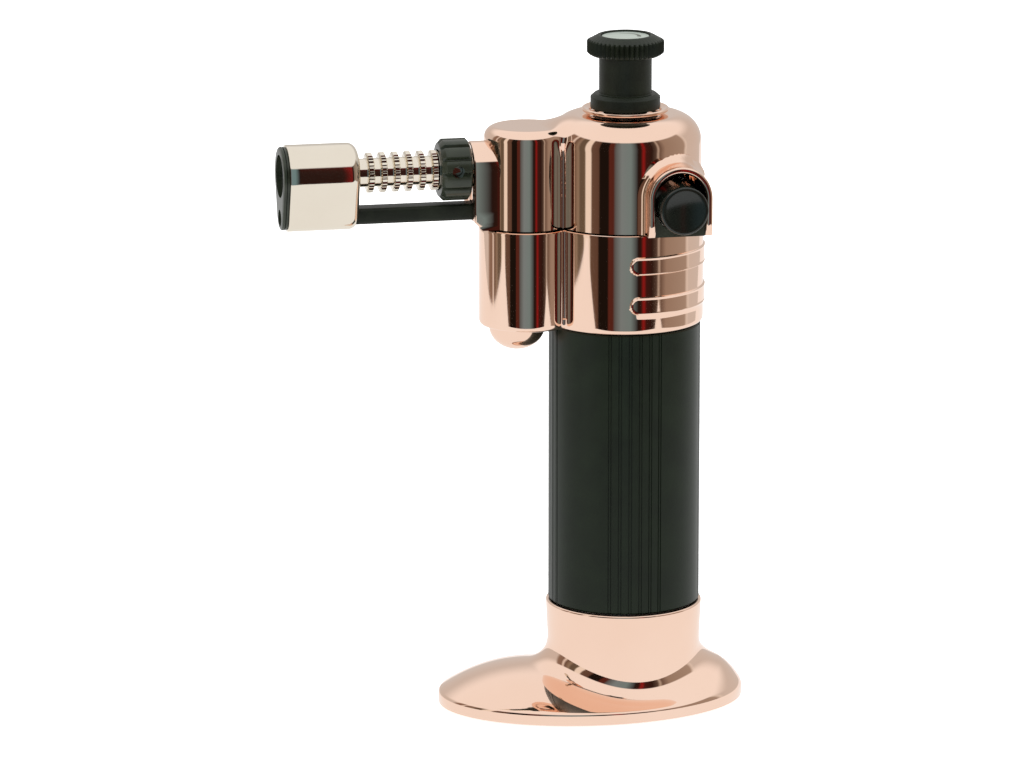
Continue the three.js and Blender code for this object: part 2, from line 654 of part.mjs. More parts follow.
addPiece('air_ring', carve(
  [pushedAlongBurner(ribbedShape(AIR_RING_R, 0.9, AIR_RING_RIBS, 6), AIR_RING_BACK, AIR_RING_FRONT)],
  [
    forward(rod(BEARING_R + GAP, 0, BIG, 28)),
    sideways(rod(AIR_HOLE_R, -BIG, BIG, 12), -(AIR_RING_BACK + AIR_RING_FRONT) / 2, BURNER_Z),
  ],
), GLOSS_PLASTIC);

// Places an outline drawn round its own centre on the burner's axis and pushes it forward.
function pushedAlongBurner(shape, back, front) {
  return pushedForward(shape, back, front).translate(0, 0, BURNER_Z);
}

const SLEEVE_BACK = 33.6;
const SLEEVE_FRONT = 64;
const SLEEVE_NOSE_R = 1.8;
const LEAD_BORE_R = 0.9;
addPiece('electrode_sleeve', carve(
  [
    pushedForward(barShape(0), SLEEVE_BACK, BARREL_BACK - GAP, 4),
    forward(rod(SLEEVE_NOSE_R, BARREL_BACK - 1, SLEEVE_FRONT, 20), ELECTRODE_Z),
  ],
  [forward(rod(LEAD_BORE_R, 0, BIG, 12), ELECTRODE_Z)],
), BLACK_PLASTIC);

addPiece('spark_electrode', forward(rod(0.6, 32.9, 74, 12), ELECTRODE_Z), STEEL);

addPiece('barrel', carve(
  [pushedForward(pearShape(0), BARREL_BACK, BARREL_FRONT, 16)],
  [
    pushedForward(pearShape(BARREL_WALL), BARREL_BACK + BARREL_WALL, BIG * 2, 16),
    forward(rod(TUBE_R + GAP, 0, BIG, 24)),
    forward(rod(SLEEVE_NOSE_R + GAP, 0, BIG, 20), ELECTRODE_Z),
  ],
), NICKEL);

const FLAME_TUBE_R = 4.6;
const FLAME_TUBE_BORE_R = 3.9;
addPiece('flame_tube',
  forward(ring(FLAME_TUBE_BORE_R, FLAME_TUBE_R, NOSE + GAP, MUZZLE_FRONT - 1.4, 28)), STEEL);

function spreaderHoles() {
  const holes = [];
  for (let i = 0; i < 6; i++) {
    const turn = i * Math.PI / 3;
    holes.push(forward(rod(0.7, 0, BIG, 10).translate(2.2 * Math.cos(turn), 2.2 * Math.sin(turn), 0)));
  }
  return holes;
}

addPiece('flame_spreader', carve(
  [forward(rod(FLAME_TUBE_BORE_R - 0.2, 68, 71, 28))],
  [...spreaderHoles(), forward(rod(0.7, 0, BIG, 10))],
), CERAMIC);

addPiece('muzzle_ring', carve(
  [
    pushedForward(pearShape(0.35), BARREL_FRONT + GAP, MUZZLE_FRONT, 16),
    pushedForward(pearShape(BARREL_WALL + 0.7), BARREL_FRONT - 3, BARREL_FRONT + 1, 16),
  ],
  [
    forward(rod(FLAME_TUBE_R + GAP, 0, BIG * 2, 28)),
    forward(rod(1.9, 0, BIG * 2, 16), ELECTRODE_Z),
  ],
), BLACK_PLASTIC);

export default torch;
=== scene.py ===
# Looks of the bench torch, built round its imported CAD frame. The torch's lengths are in millimetres and
# become metres when a mesh is made. The stage, the camera and the lamps are in metres.
import bpy
import bmesh
import math
import numpy as np
from mathutils import Matrix, Vector


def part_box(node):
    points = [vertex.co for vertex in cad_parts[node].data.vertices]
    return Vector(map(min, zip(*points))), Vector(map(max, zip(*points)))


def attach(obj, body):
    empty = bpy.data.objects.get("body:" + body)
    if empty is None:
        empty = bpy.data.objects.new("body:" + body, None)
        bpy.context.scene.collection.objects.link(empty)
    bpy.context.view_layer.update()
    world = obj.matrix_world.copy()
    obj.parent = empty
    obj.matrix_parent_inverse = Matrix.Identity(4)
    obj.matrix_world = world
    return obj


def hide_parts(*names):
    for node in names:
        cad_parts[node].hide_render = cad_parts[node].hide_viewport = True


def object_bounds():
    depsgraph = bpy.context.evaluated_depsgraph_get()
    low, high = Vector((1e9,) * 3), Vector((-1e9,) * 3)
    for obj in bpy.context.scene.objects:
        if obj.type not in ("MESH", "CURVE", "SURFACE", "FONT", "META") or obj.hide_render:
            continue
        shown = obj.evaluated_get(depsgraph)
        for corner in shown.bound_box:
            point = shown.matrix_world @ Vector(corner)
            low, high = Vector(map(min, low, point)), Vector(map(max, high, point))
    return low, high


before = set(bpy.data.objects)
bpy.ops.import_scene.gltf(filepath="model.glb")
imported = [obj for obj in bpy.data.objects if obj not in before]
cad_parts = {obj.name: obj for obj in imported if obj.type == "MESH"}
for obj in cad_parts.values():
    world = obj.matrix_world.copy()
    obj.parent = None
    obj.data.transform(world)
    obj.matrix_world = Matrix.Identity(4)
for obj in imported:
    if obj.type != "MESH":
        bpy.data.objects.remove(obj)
cad_low, cad_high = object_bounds()
TAU = 2 * math.pi


def box_mm(name):
    low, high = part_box(name)
    return Vector(low) * 1000, Vector(high) * 1000


# ---- mesh helpers ----------------------------------------------------------------------------

def new_mesh(name, points, faces, sharp=32):
    """A mesh object from points in millimetres, smooth except at edges sharper than the angle."""
    mesh = bpy.data.meshes.new(name)
    work = bmesh.new()
    verts = [work.verts.new(Vector(p) / 1000) for p in points]
    for face in faces:
        work.faces.new([verts[i] for i in face])
    bmesh.ops.recalc_face_normals(work, faces=work.faces)
    work.to_mesh(mesh)
    work.free()
    mesh.shade_smooth()
    mesh.set_sharp_from_angle(angle=math.radians(sharp))
    obj = bpy.data.objects.new(name, mesh)
    bpy.context.scene.collection.objects.link(obj)
    return obj


def loft(name, rings, loop=False, start="fan", end="fan", sharp=32):
    """Joins closed rings of equal length with quads, and caps both ends."""
    count = len(rings[0])
    points = [p for ring in rings for p in ring]
    faces = []
    last = len(rings) if loop else len(rings) - 1
    for i in range(last):
        a, b = i * count, ((i + 1) % len(rings)) * count
        for j in range(count):
            k = (j + 1) % count
            faces.append((a + j, a + k, b + k, b + j))
    if not loop:
        for ring_index, cap in ((0, start), (len(rings) - 1, end)):
            base = ring_index * count
            if cap == "fan":
                centre = sum((Vector(p) for p in rings[ring_index]), Vector()) / count
                points.append(tuple(centre))
                middle = len(points) - 1
                faces += [(base + j, base + (j + 1) % count, middle) for j in range(count)]
            elif cap == "face":
                faces.append(tuple(range(base, base + count)))
    return new_mesh(name, points, faces, sharp)


def soften(corners, steps=5, closed=False):
    """A polyline through corners (a, b) or (a, b, radius), with an arc at each corner with a radius."""
    out = []
    total = len(corners)
    for i, corner in enumerate(corners):
        here = Vector(corner[:2])
        radius = corner[2] if len(corner) > 2 else 0
        inner = closed or 0 < i < total - 1
        if not radius or not inner:
            out.append(tuple(here))
            continue
        before = Vector(corners[i - 1][:2]) - here
        after = Vector(corners[(i + 1) % total][:2]) - here
        u, v = before.normalized(), after.normalized()
        half = math.acos(max(-1, min(1, u.dot(v)))) / 2
        reach = radius / math.tan(half)
        centre = here + (u + v).normalized() * (radius / math.sin(half))
        first = here + u * reach - centre
        second = here + v * reach - centre
        sweep = first.angle_signed(second)
        for s in range(steps + 1):
            turn = -sweep * s / steps
            out.append(tuple(centre + Vector((
                first.x * math.cos(turn) - first.y * math.sin(turn),
                first.x * math.sin(turn) + first.y * math.cos(turn)))))
    return out


def upright(r, turn, h, x=0, y=0):
    """Radius, turn and height on an upright axis through x, y."""
    return (x + r * math.cos(turn), y + r * math.sin(turn), h)


def lathe(name, outline, place, segments=96, loop=False, sharp=32):
    """A solid of revolution. place(radius, turn, height) gives the point."""
    rings = [[place(max(r, 0.001), TAU * j / segments, h) for j in range(segments)]
             for r, h in outline]
    return loft(name, rings, loop=loop, start="face", end="face", sharp=sharp)


def cut(obj, *tools):
    """Cuts the tools away from obj and removes them. The meshes are in millimetres while the solver works."""
    for part in (obj, *tools):
        part.data.transform(Matrix.Scale(1000, 4))
    for tool in tools:
        change = obj.modifiers.new("cut", "BOOLEAN")
        change.operation = "DIFFERENCE"
        change.solver = "MANIFOLD"
        change.object = tool
    graph = bpy.context.evaluated_depsgraph_get()
    mesh = bpy.data.meshes.new_from_object(obj.evaluated_get(graph))
    mesh.transform(Matrix.Scale(0.001, 4))
    old = obj.data
    obj.modifiers.clear()
    obj.data = mesh
    mesh.name = old.name
    bpy.data.meshes.remove(old)
    for tool in tools:
        bpy.data.objects.remove(tool)
    mesh.shade_smooth()
    mesh.set_sharp_from_angle(angle=math.radians(32))
    return obj


def join(name, *parts):
    """Puts the shells of several objects in one mesh."""
    work = bmesh.new()
    for part in parts:
        work.from_mesh(part.data)
    mesh = bpy.data.meshes.new(name)
    work.to_mesh(mesh)
    work.free()
    for part in parts:
        bpy.data.objects.remove(part)
    obj = bpy.data.objects.new(name, mesh)
    bpy.context.scene.collection.objects.link(obj)
    return obj


# ---- materials -------------------------------------------------------------------------------

def shade(v):
    """One linear channel from its 0-255 display value."""
    v /= 255
    return v / 12.92 if v <= 0.04045 else ((v + 0.055) / 1.055) ** 2.4


def colour(r, g, b):
    return (shade(r), shade(g), shade(b), 1)


def finish(name, light, dark, roughness, scale, metallic=0.0, bump=0.0, bump_scale=2500,
           stretch=(1, 1, 1), **sockets):
    """A surface whose colour and roughness wander between two values over the piece."""
    material = bpy.data.materials.new(name)
    material.use_nodes = True
    nodes, links = material.node_tree.nodes, material.node_tree.links
    shader = nodes["Principled BSDF"]
    shader.inputs["Metallic"].default_value = metallic
    for key, value in sockets.items():
        shader.inputs[key.replace("_", " ")].default_value = value
    place = nodes.new("ShaderNodeTexCoord")
    mapping = nodes.new("ShaderNodeMapping")
    mapping.inputs["Scale"].default_value = stretch
    links.new(place.outputs["Object"], mapping.inputs["Vector"])
    cloud = nodes.new("ShaderNodeTexNoise")
    cloud.inputs["Scale"].default_value = scale
    cloud.inputs["Detail"].default_value = 4
    links.new(mapping.outputs["Vector"], cloud.inputs["Vector"])
    ramp = nodes.new("ShaderNodeValToRGB")
    ramp.color_ramp.elements[0].position = 0.35
    ramp.color_ramp.elements[0].color = dark
    ramp.color_ramp.elements[1].position = 0.65
    ramp.color_ramp.elements[1].color = light
    links.new(cloud.outputs["Fac"], ramp.inputs["Fac"])
    links.new(ramp.outputs["Color"], shader.inputs["Base Color"])
    wear = nodes.new("ShaderNodeMapRange")
    wear.inputs["To Min"].default_value = roughness[0]
    wear.inputs["To Max"].default_value = roughness[1]
    links.new(cloud.outputs["Fac"], wear.inputs["Value"])
    links.new(wear.outputs["Result"], shader.inputs["Roughness"])
    if bump:
        grain = nodes.new("ShaderNodeTexNoise")
        grain.inputs["Scale"].default_value = bump_scale
        links.new(mapping.outputs["Vector"], grain.inputs["Vector"])
        relief = nodes.new("ShaderNodeBump")
        relief.inputs["Strength"].default_value = bump
        relief.inputs["Distance"].default_value = 0.0001
        links.new(grain.outputs["Fac"], relief.inputs["Height"])
        links.new(relief.outputs["Normal"], shader.inputs["Normal"])
    return material


ROSE_GOLD = finish("rose_gold", colour(245, 213, 193), colour(242, 208, 187), (0.03, 0.05), 30,
                   metallic=1.0)
NICKEL = finish("nickel", colour(232, 223, 208), colour(226, 216, 200), (0.05, 0.08), 30, metallic=1.0)
ANODISED = finish("black_anodised", colour(15, 24, 12), colour(11, 19, 9), (0.3, 0.36), 160,
                  bump=0.12, Specular_IOR_Level=0.21)
BLACK_PLASTIC = finish("black_plastic", colour(20, 26, 14), colour(14, 19, 10), (0.42, 0.52), 220,
                       bump=0.25, Specular_IOR_Level=0.3)
SATIN_PLASTIC = finish("satin_plastic", colour(36, 41, 30), colour(27, 32, 22), (0.26, 0.34), 200,
                       bump=0.08, Specular_IOR_Level=0.45)
GLOSS_PLASTIC = finish("gloss_black_plastic", colour(16, 20, 16), colour(11, 15, 12), (0.12, 0.18),
                       200, Specular_IOR_Level=0.5)
WHITE_PLASTIC = finish("white_plastic", colour(232, 228, 218), colour(222, 217, 205), (0.45, 0.55), 300)
BRASS = finish("brass", colour(205, 172, 92), colour(190, 156, 78), (0.22, 0.34), 250, metallic=1.0)
STEEL = finish("steel", colour(192, 195, 200), colour(178, 181, 186), (0.22, 0.34), 250, metallic=1.0)
ALUMINIUM = finish("aluminium", colour(188, 191, 194), colour(172, 175, 178), (0.32, 0.45), 300,
                   metallic=1.0)
RUBBER = finish("rubber", colour(34, 34, 34), colour(26, 26, 26), (0.8, 0.9), 400, bump=0.3)
CERAMIC = finish("ceramic", colour(230, 224, 212), colour(218, 210, 196), (0.75, 0.85), 400, bump=0.3)


ARC_R = 0.0031
ARC_HALF_WIDTH = 0.00042
ARC_TAPER = -0.00018
ARC_START = -0.5
ARC_END = 1.8


def label_finish():
    """Brushed pale metal with a plain dark arc that widens clockwise, a generic more-gas mark. The arc's
    lengths are in metres, as the shader sees them."""
    material = finish("label_metal", colour(188, 198, 189), colour(170, 181, 172), (0.3, 0.38), 40,
                      metallic=0.6, stretch=(1, 14, 1))
    nodes, links = material.node_tree.nodes, material.node_tree.links

    def step(kind, *values):
        n = nodes.new("ShaderNodeMath")
        n.operation = kind
        for socket, value in zip(n.inputs, values):
            if isinstance(value, float):
                socket.default_value = value
            else:
                links.new(value, socket)
        return n.outputs[0]

    spot = nodes.new("ShaderNodeTexCoord")
    split = nodes.new("ShaderNodeSeparateXYZ")
    links.new(spot.outputs["Object"], split.inputs["Vector"])
    x, y = split.outputs["X"], split.outputs["Y"]
    out = step("SQRT", step("ADD", step("MULTIPLY", x, x), step("MULTIPLY", y, y)))
    turn = step("ARCTAN2", y, x)
    wide = step("MULTIPLY_ADD", turn, ARC_TAPER, ARC_HALF_WIDTH)
    arc = step("LESS_THAN", step("ABSOLUTE", step("SUBTRACT", out, ARC_R)), wide)
    arc = step("MULTIPLY", arc, step("GREATER_THAN", turn, ARC_START))
    arc = step("MULTIPLY", arc, step("LESS_THAN", turn, ARC_END))
    shader = next(n for n in nodes if n.type == "BSDF_PRINCIPLED")
    tint = nodes.new("ShaderNodeMix")
    tint.data_type = "RGBA"
    links.new(arc, tint.inputs["Factor"])
    links.new(shader.inputs["Base Color"].links[0].from_socket, tint.inputs[6])
    tint.inputs[7].default_value = colour(84, 90, 80)
    links.new(tint.outputs[2], shader.inputs["Base Color"])
    return material


LABEL = label_finish()


def piece(obj, material, body, node):
    """Gives a new mesh its finish, and lets it stand for a CAD node."""
    obj.data.materials.clear()
    obj.data.materials.append(material)
    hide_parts(node)
    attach(obj, body)
    return obj


# ---- foot ------------------------------------------------------------------------------------

foot_low, foot_high = box_mm("foot")
foot_x = (foot_low.x + foot_high.x) / 2
half_length = (foot_high.x - foot_low.x) / 2
half_width = (foot_high.y - foot_low.y) / 2
WALL_R = 17.7
LIP_R = 18.1
SOCKET_R = 16.5
SOCKET_FLOOR = 8
RIM = 3.1
RISE = 6.5
FILLET = 4.9
SIDE_SHARE = 0.11
EDGE_ROUND = 0.55
LOWER_ROUND = 0.3
FOOT_POINTS = 300
PAD_GAP = 0.3


def brim_reach(turn):
    """Distance from the tank's axis to the oval edge of the brim."""
    c, s = math.cos(turn), math.sin(turn)
    a = (c / half_length) ** 2 + (s / half_width) ** 2
    b = -2 * foot_x * c / half_length ** 2
    d = (foot_x / half_length) ** 2 - 1
    return (-b + math.sqrt(b * b - 4 * a * d)) / (2 * a)


def brim_height(turn, spread, from_wall):
    """The brim's top: a crown that is highest along the oval's length, and a fillet against the wall."""
    share = SIDE_SHARE + (1 - SIDE_SHARE) * math.cos(turn) ** 2
    left = max(FILLET - from_wall, 0)
    return RIM + RISE * share * (1 - spread ** 2.5) + FILLET - math.sqrt(FILLET ** 2 - left ** 2)


def make_foot():
    turns = [TAU * j / FOOT_POINTS for j in range(FOOT_POINTS)]
    rings = []
    for inset, rise in ((2.2, 0), (LOWER_ROUND, 0), (0.09, 0.09), (0, LOWER_ROUND)):
        rings.append([upright(brim_reach(turn) - inset, turn, foot_low.z + rise) for turn in turns])

    def brim_ring(reach_at, drop):
        ring = []
        for turn in turns:
            edge = brim_reach(turn)
            reach = reach_at(edge)
            top = brim_height(turn, (reach - WALL_R) / (edge - WALL_R), reach - WALL_R)
            ring.append(upright(reach, turn, top - drop))
        rings.append(ring)

    for i in range(10):
        lean = math.pi / 2 * i / 9
        inset = EDGE_ROUND * (1 - math.cos(lean))
        brim_ring(lambda edge: edge - inset, EDGE_ROUND * (1 - math.sin(lean)))
    steps = 44
    for i in range(1, steps + 1):
        spread = (1 - i / steps) ** 1.3
        brim_ring(lambda edge: WALL_R + spread * (edge - EDGE_ROUND - WALL_R), 0)
    socket = soften([(WALL_R, RIM + RISE + FILLET + 1), (LIP_R - 0.1, foot_high.z - 2.2),
                     (LIP_R, foot_high.z, 0.5), (SOCKET_R, foot_high.z, 0.35),
                     (SOCKET_R, SOCKET_FLOOR), (0.5, SOCKET_FLOOR)])
    for r, z in socket:
        rings.append([upright(r, turn, z) for turn in turns])
    pad_low, pad_high = box_mm("foot_pad")
    pad_share = 1 - (half_width - (pad_high.y - pad_low.y) / 2 - PAD_GAP) / half_width
    recess = pad_high.z + PAD_GAP
    under = []
    for scale, z in ((0.05, recess), (pad_share, recess), (pad_share, foot_low.z)):
        under.append([(foot_x + (brim_reach(turn) * math.cos(turn) - foot_x) * scale,
                       brim_reach(turn) * math.sin(turn) * scale, z) for turn in turns])
    return loft("foot_body", under + rings, start="face", end="face", sharp=28)


piece(make_foot(), ROSE_GOLD, "stand", "foot")

# ---- tank ------------------------------------------------------------------------------------

tank_low, tank_high = box_mm("tank_tube")
TANK_R = tank_high.x
TANK_BORE_R = 16
TANK_ROUND = 0.3
GROOVE_WIDTH = 0.26
GROOVE_DEPTH = 0.2
PAIR_SPACING = 0.58
PAIR_PITCH = 7.7
PAIRS = 6
FIELDS = 4
FIELD_TURN = -4


def make_tank():
    """A tube with four fields of paired lengthwise grooves."""
    spots = []
    for side in range(FIELDS):
        for k in range(PAIRS):
            middle = math.radians(360 / FIELDS * side + FIELD_TURN + (k - (PAIRS - 1) / 2) * PAIR_PITCH)
            for offset in (-PAIR_SPACING / 2, PAIR_SPACING / 2):
                at = middle + offset / TANK_R
                half = GROOVE_WIDTH / 2 / TANK_R
                spots += [(at - half, 0), (at - half * 0.6, 1), (at + half * 0.6, 1), (at + half, 0)]
    edges = [turn % TAU for turn, _ in spots]
    for i in range(180):
        turn = TAU * i / 180
        if min(abs((turn - e + math.pi) % TAU - math.pi) for e in edges) > 0.006:
            spots.append((turn, 0))
    spots = sorted((turn % TAU, deep) for turn, deep in spots)
    rings = []
    outline = [(TANK_BORE_R, tank_low.z), (TANK_R - TANK_ROUND, tank_low.z),
               (TANK_R, tank_low.z + TANK_ROUND), (TANK_R, tank_high.z - TANK_ROUND),
               (TANK_R - TANK_ROUND, tank_high.z), (TANK_BORE_R, tank_high.z)]
    for r, z in outline:
        depth = GROOVE_DEPTH if r > TANK_BORE_R else 0
        rings.append([upright(r - deep * depth, turn, z) for turn, deep in spots])
    return loft("tank_grooved", rings, loop=True, sharp=30)


piece(make_tank(), ANODISED, "torch", "tank_tube")

# ---- two-lobed housing -----------------------------------------------------------------------

collar_low, collar_high = box_mm("lower_collar")
cover_low, cover_high = box_mm("top_cover")
LOBE_X = -23.1
COLLAR_R = 18.1
COLLAR_FRONT_R = 10.9
MIDDLE_X = -15.2
WALL = 1.6
PLUG_R = 16.8
PAD_Z = (97, 106.25)
PAD_HALF = 2.125
PAD_START_X = -2.75
PAD_PROUD = 0.4
PAD_EDGE = 0.12
VALLEY_BLEND = 1.6
VALLEY_GROOVE_R = 0.55
VALLEY_GROOVE_OUT = 0.75
COLLAR_GROOVE_START = 2.6


def lobe(points, x, radius, top, round_):
    """Signed distance to an upright rod with a rounded top edge."""
    a = np.hypot(points[..., 0] - x, points[..., 1]) - (radius - round_)
    b = points[..., 2] - (top - round_)
    return np.hypot(np.maximum(a, 0), np.maximum(b, 0)) + np.minimum(np.maximum(a, b), 0) - round_


def blended(a, b, width):
    """The union of two distances, with a fillet of about this width between them."""
    h = np.maximum(width - np.abs(a - b), 0) / width
    return np.minimum(a, b) - h * h * width / 4


def reach_of(origin, directions, distance):
    """How far each direction runs from origin before it leaves the solid for the last time."""
    low = np.full(directions.shape[:-1], 1.0)
    for ahead in np.arange(2.0, 45.0, 0.5):
        inside = distance(origin + directions * ahead) <= 0
        low = np.where(inside, ahead, low)
    high = low + 0.5
    for _ in range(16):
        mid = (low + high) / 2
        outside = distance(origin + directions * mid[..., None]) > 0
        high = np.where(outside, mid, high)
        low = np.where(outside, low, mid)
    return low


def two_lobes(radii, tops, rounds, groove, blend):
    """Distance function of the two-lobed housing. groove(z) and blend(z) shape the valley."""
    cross_x = (radii[1] ** 2 - radii[0] ** 2 - LOBE_X ** 2) / (-2 * LOBE_X)
    cross_y = math.sqrt(radii[0] ** 2 - cross_x ** 2)

    def distance(points):
        z = points[..., 2]
        main = lobe(points, 0, radii[0], tops[0], rounds[0])
        front = lobe(points, LOBE_X, radii[1], tops[1], rounds[1])
        solid = blended(main, front, blend(z))
        from_groove = np.hypot(points[..., 0] - cross_x,
                               np.abs(points[..., 1]) - cross_y - VALLEY_GROOVE_OUT)
        return np.where(groove(z), np.maximum(solid, VALLEY_GROOVE_R - from_groove), solid)
    return distance


def pad_height(x, y, z):
    """How far a grip pad stands proud at this point of the collar."""
    best = 0
    angle = math.atan2(x - PAD_START_X - PAD_HALF, abs(y))
    for middle in PAD_Z:
        along = angle * COLLAR_R
        across = abs(z - middle)
        away = across if along > 0 else math.hypot(along, across)
        inside = PAD_HALF - away
        if inside > 0:
            rise = min(inside / 0.16, 1)
            edge = PAD_EDGE * max(0, 1 - abs(inside - 0.28) / 0.2)
            best = max(best, (PAD_PROUD - PAD_EDGE) * rise * rise * (3 - 2 * rise) + edge)
    return best


def valley_turns():
    """Directions round the housing, closer together in the valley and at the grip pads' ends."""
    turns = []
    step = 0
    while step < 360:
        turns.append(math.radians(step))
        side = min(step, 360 - step)
        step += 0.3 if 88 < side < 104 else 0.4 if 46 < side < 58 else 1
    return np.array(turns)


def level(turns):
    """Level directions at these turns."""
    return np.stack([np.cos(turns), np.sin(turns), 0 * turns], -1)


def make_collar():
    """The housing below the cover: a rounded lower edge, grip pads, and a bore in each lobe."""
    low, high = collar_low.z, collar_high.z
    rows = [(4, low), (1, low)]
    for i in range(1, 9):
        a = i / 8 * math.pi / 2
        rows.append((1 - math.sin(a), low + 1 - math.cos(a)))
    z = low + 1.4
    while z < high - 0.6:
        rows.append((0, z))
        close = any(abs(z - p) < PAD_HALF + 0.25 for p in PAD_Z)
        edge = any(abs(abs(z - p) - PAD_HALF) < 0.4 for p in PAD_Z)
        z += 0.09 if edge else 0.2 if close or z < low + 3 else 0.6
    rows += [(0, high - 0.4), (0.1, high - 0.12), (0.35, high), (3, high)]
    flat = level(valley_turns())
    outer = two_lobes((COLLAR_R, COLLAR_FRONT_R), (high + 50, high + 50), (1, 1),
                      lambda h: h > low + COLLAR_GROOVE_START, lambda h: VALLEY_BLEND)
    rings = []
    for inset, z in rows:
        origin = np.array([MIDDLE_X, 0, z])
        reach = reach_of(origin, flat, outer) - inset
        ring = []
        for x, y, _ in origin + flat * reach[:, None]:
            r = math.hypot(x, y)
            if x > PAD_START_X - 1 and inset == 0:
                grow = 1 + pad_height(x, y, z) / r
                x, y = x * grow, y * grow
            ring.append((x, y, z))
        rings.append(ring)
    collar = loft("collar_shell", rings, start="face", end="face")
    bore = lathe("bore", [(PLUG_R, low - 5), (PLUG_R, high + 5)], upright)
    hollow = lathe("hollow", [(COLLAR_FRONT_R - WALL, low + WALL), (COLLAR_FRONT_R - WALL, high + 5)],
                   lambda r, t, h: upright(r, t, h, LOBE_X))
    return cut(collar, bore, hollow)


piece(make_collar(), ROSE_GOLD, "torch", "lower_collar")

dome_low, dome_high = box_mm("front_dome")
dome_x = (dome_low.x + dome_high.x) / 2
dome_r = (dome_high.x - dome_low.x) / 2
DOME_DROP = 5.6


def make_dome():
    """The dome under the front lobe, with a short plug that goes up into it."""
    outline = [(0.02, dome_low.z)]
    for i in range(1, 21):
        a = i / 20 * math.pi / 2
        outline.append((dome_r * math.sin(a), dome_low.z + DOME_DROP * (1 - math.cos(a))))
    plug_r = 2
    outline += [(plug_r, dome_low.z + DOME_DROP), (plug_r, dome_high.z), (0.02, dome_high.z)]
    return lathe("front_dome_shell", outline, lambda r, t, h: upright(r, t, h, dome_x), 64)


piece(make_dome(), ROSE_GOLD, "torch", "front_dome")

# ---- top cover -------------------------------------------------------------------------------

COVER_R = 17.5
COVER_FRONT_R = 9.75
COVER_FRONT_TOP = 136.4
COVER_ROUND = 6.2
FRONT_ROUND = 2.6
COVER_GROOVE_TOP = 133.2
WIDENING_Z = (130, 136)
WIDEST_BLEND = 3.5
SKIN_START_Z = 120.0
STEEPEST = 88.5
BURNER_Z = 126.9
TUBE_HOLE_R = 4.7
KNOB_HOLE_R = 5
BOSS_R = 6.3
boss_front = -cover_low.x
button_low, button_high = box_mm("ignition_button")
button_x = (button_low.x + button_high.x) / 2
button_z = (button_low.z + button_high.z) / 2
button_r = (button_high.x - button_low.x) / 2
ARCH_Z = 122.3
ARCH_R = 7.4
OPENING_R = 5.85
arch_front = cover_low.y
ROOT_FLARE = 1.8
FLARE_REACH = 1.9


def cover_skin(inset, groove, steps):
    """Rings of the cover's skin, drawn in by inset. Level rows run up to SKIN_START_Z, and rows that
    tilt more and more, in this many steps, close it over the top."""
    distance = two_lobes(
        (COVER_R - inset, COVER_FRONT_R - inset), (cover_high.z - inset, COVER_FRONT_TOP - inset),
        (COVER_ROUND - inset * 0.6, FRONT_ROUND - inset * 0.6),
        lambda h: (h < COVER_GROOVE_TOP) & groove,
        lambda h: np.interp(h, WIDENING_Z, (VALLEY_BLEND, WIDEST_BLEND)))
    flat = level(valley_turns())
    rows = [cover_low.z + 0.001]
    rows += [cover_low.z + (SKIN_START_Z - cover_low.z) * i / 6 for i in range(1, 7)]
    rings = []
    for z in rows:
        origin = np.array([MIDDLE_X, 0, z])
        rings.append(origin + flat * reach_of(origin, flat, distance)[:, None])
    origin = np.array([MIDDLE_X, 0, SKIN_START_Z])
    for i in range(1, steps + 1):
        up = math.radians(STEEPEST * (i / steps) ** 0.9)
        rays = flat * math.cos(up) + np.array([0, 0, math.sin(up)])
        rings.append(origin + rays * reach_of(origin, rays, distance)[:, None])
    return rings


def cover_shell():
    """The cover's two lobes as a hollow cap. The inner skin is out of sight, so it has fewer rows."""
    outer = cover_skin(0, True, 150)
    inner = cover_skin(WALL, False, 24)
    rings = [[tuple(p) for p in ring] for ring in inner[::-1] + outer]
    return loft("lobes", rings, start="face", end="face")


def make_boss():
    """The block that the burner comes out of: upright sides, a half-round top and a cut lower corner."""
    turns = [i / 32 * math.pi for i in range(33)]
    chamfer_z = cover_low.z + 1.9
    rings = []
    for depth, inset in ((28, 0), (31, 0), (boss_front - 0.45, 0), (boss_front - 0.3, 0.04),
                         (boss_front - 0.12, 0.16), (boss_front, 0.45)):
        reach = BOSS_R - inset
        top = [(reach * math.cos(a), BURNER_Z + reach * math.sin(a)) for a in turns]
        left = [(-reach, z) for z in (122, 118, chamfer_z, cover_low.z + 1, cover_low.z)]
        right = [(reach, z) for _, z in reversed(left)]
        ring = []
        for y, z in top + left + right:
            limit = boss_front - max(0, chamfer_z - z)
            ring.append((-min(depth, limit), y, z))
        rings.append(ring)
    return loft("boss", rings, start="face", end="face")


